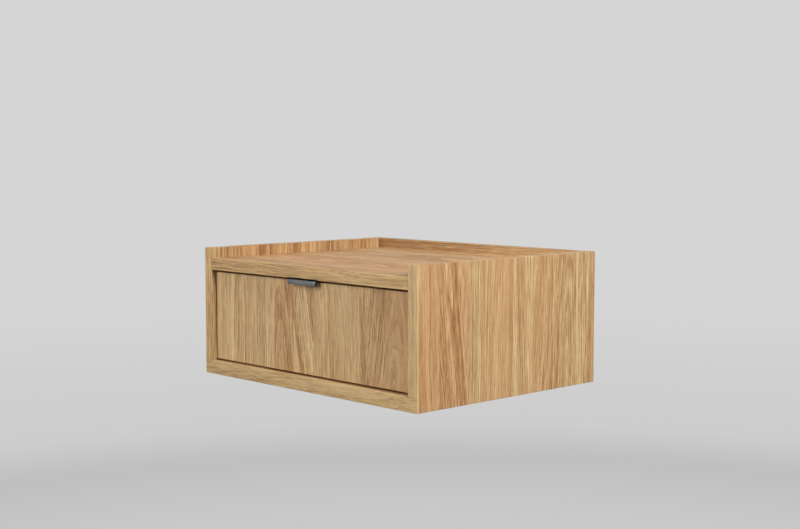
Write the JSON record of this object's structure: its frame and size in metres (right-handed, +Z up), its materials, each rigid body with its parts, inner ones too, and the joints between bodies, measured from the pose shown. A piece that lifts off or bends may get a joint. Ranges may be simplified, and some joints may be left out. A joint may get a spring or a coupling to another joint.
{
  "type": "floating nightstand",
  "caption": "Wall-hung oak-veneered nightstand with a raised rim round its top and an inset drawer on ball-bearing runners, opened by a small metal tab pull.",
  "frame": {"origin": "middle of the wall rail's back face, on the wall plane and halfway across the nightstand", "axes": "+X to the user's right, -Y out of the drawer front into the room, +Y into the wall, +Z up"},
  "size_m": [0.5, 0.3923, 0.2073],
  "materials": {
    "oak_veneer": "natural oak veneer, matt lacquer",
    "oak_edge_band": "1 mm oak edge band, matt lacquer, eased arrises",
    "oak_drawer_front": "natural oak veneer with upright grain, matt lacquer",
    "birch": "birch plywood, clear lacquer",
    "beech": "bare beech dowel",
    "gunmetal": "satin gunmetal",
    "zinc_steel": "bright zinc-plated steel sheet",
    "ball_cage_steel": "oiled steel strip with steel balls",
    "zinc_screws": "zinc-plated steel screws",
    "aluminium": "mill-finish extruded aluminium"
  },
  "bodies": {
    "carcass": {"left_side": "oak_veneer", "right_side": "oak_veneer", "top_panel": "oak_veneer", "bottom_panel": "oak_veneer", "back_board": "oak_veneer", "left_front_band": "oak_edge_band", "right_front_band": "oak_edge_band", "top_front_band": "oak_edge_band", "bottom_front_band": "oak_edge_band", "left_top_band": "oak_edge_band", "right_top_band": "oak_edge_band", "back_top_band": "oak_edge_band", "top_dowel_left_1": "beech", "top_dowel_left_2": "beech", "top_dowel_right_1": "beech", "top_dowel_right_2": "beech", "bottom_dowel_left_1": "beech", "bottom_dowel_left_2": "beech", "bottom_dowel_right_1": "beech", "bottom_dowel_right_2": "beech", "back_dowel_left_1": "beech", "back_dowel_left_2": "beech", "back_dowel_right_1": "beech", "back_dowel_right_2": "beech", "wall_rail": "aluminium", "cabinet_rail": "aluminium", "cabinet_rail_screw_1": "zinc_screws", "cabinet_rail_screw_2": "zinc_screws", "cabinet_rail_screw_3": "zinc_screws", "left_cabinet_member": "zinc_steel", "left_cabinet_member_screw_1": "zinc_screws", "left_cabinet_member_screw_2": "zinc_screws", "right_cabinet_member": "zinc_steel", "right_cabinet_member_screw_1": "zinc_screws", "right_cabinet_member_screw_2": "zinc_screws"},
    "drawer": {"drawer_front": "oak_drawer_front", "box_left_side": "birch", "box_right_side": "birch", "box_front": "birch", "box_back": "birch", "box_bottom": "birch", "front_screw_1": "zinc_screws", "front_screw_2": "zinc_screws", "front_screw_3": "zinc_screws", "front_screw_4": "zinc_screws", "pull_tab": "gunmetal", "pull_screw_left": "zinc_screws", "pull_screw_right": "zinc_screws", "left_drawer_member": "zinc_steel", "left_drawer_member_screw_1": "zinc_screws", "left_drawer_member_screw_2": "zinc_screws", "right_drawer_member": "zinc_steel", "right_drawer_member_screw_1": "zinc_screws", "right_drawer_member_screw_2": "zinc_screws"},
    "left_middle": {"left_middle_member": "zinc_steel"},
    "right_middle": {"right_middle_member": "zinc_steel"},
    "left_outer_cage": {"left_outer_ball_cage": "ball_cage_steel"},
    "right_outer_cage": {"right_outer_ball_cage": "ball_cage_steel"},
    "left_inner_cage": {"left_inner_ball_cage": "ball_cage_steel"},
    "right_inner_cage": {"right_inner_ball_cage": "ball_cage_steel"}
  },
  "joints": [
    {"name": "drawer_slide", "type": "slide", "parent": "carcass", "child": "drawer", "axis": [0, -1, 0], "range_m": [0, 0.3]},
    {"name": "left_middle_slide", "type": "slide", "parent": "carcass", "child": "left_middle", "axis": [0, -1, 0], "range_m": [0, 0.15]},
    {"name": "right_middle_slide", "type": "slide", "parent": "carcass", "child": "right_middle", "axis": [0, -1, 0], "range_m": [0, 0.15]},
    {"name": "left_outer_cage_slide", "type": "slide", "parent": "carcass", "child": "left_outer_cage", "axis": [0, -1, 0], "range_m": [0, 0.075]},
    {"name": "right_outer_cage_slide", "type": "slide", "parent": "carcass", "child": "right_outer_cage", "axis": [0, -1, 0], "range_m": [0, 0.075]},
    {"name": "left_inner_cage_slide", "type": "slide", "parent": "carcass", "child": "left_inner_cage", "axis": [0, -1, 0], "range_m": [0, 0.225]},
    {"name": "right_inner_cage_slide", "type": "slide", "parent": "carcass", "child": "right_inner_cage", "axis": [0, -1, 0], "range_m": [0, 0.225]}
  ],
  "couplings": [
    {"joint": "left_middle_slide", "follows": "drawer_slide", "ratio": 0.5},
    {"joint": "right_middle_slide", "follows": "drawer_slide", "ratio": 0.5},
    {"joint": "left_outer_cage_slide", "follows": "drawer_slide", "ratio": 0.25},
    {"joint": "right_outer_cage_slide", "follows": "drawer_slide", "ratio": 0.25},
    {"joint": "left_inner_cage_slide", "follows": "drawer_slide", "ratio": 0.75},
    {"joint": "right_inner_cage_slide", "follows": "drawer_slide", "ratio": 0.75}
  ]
}
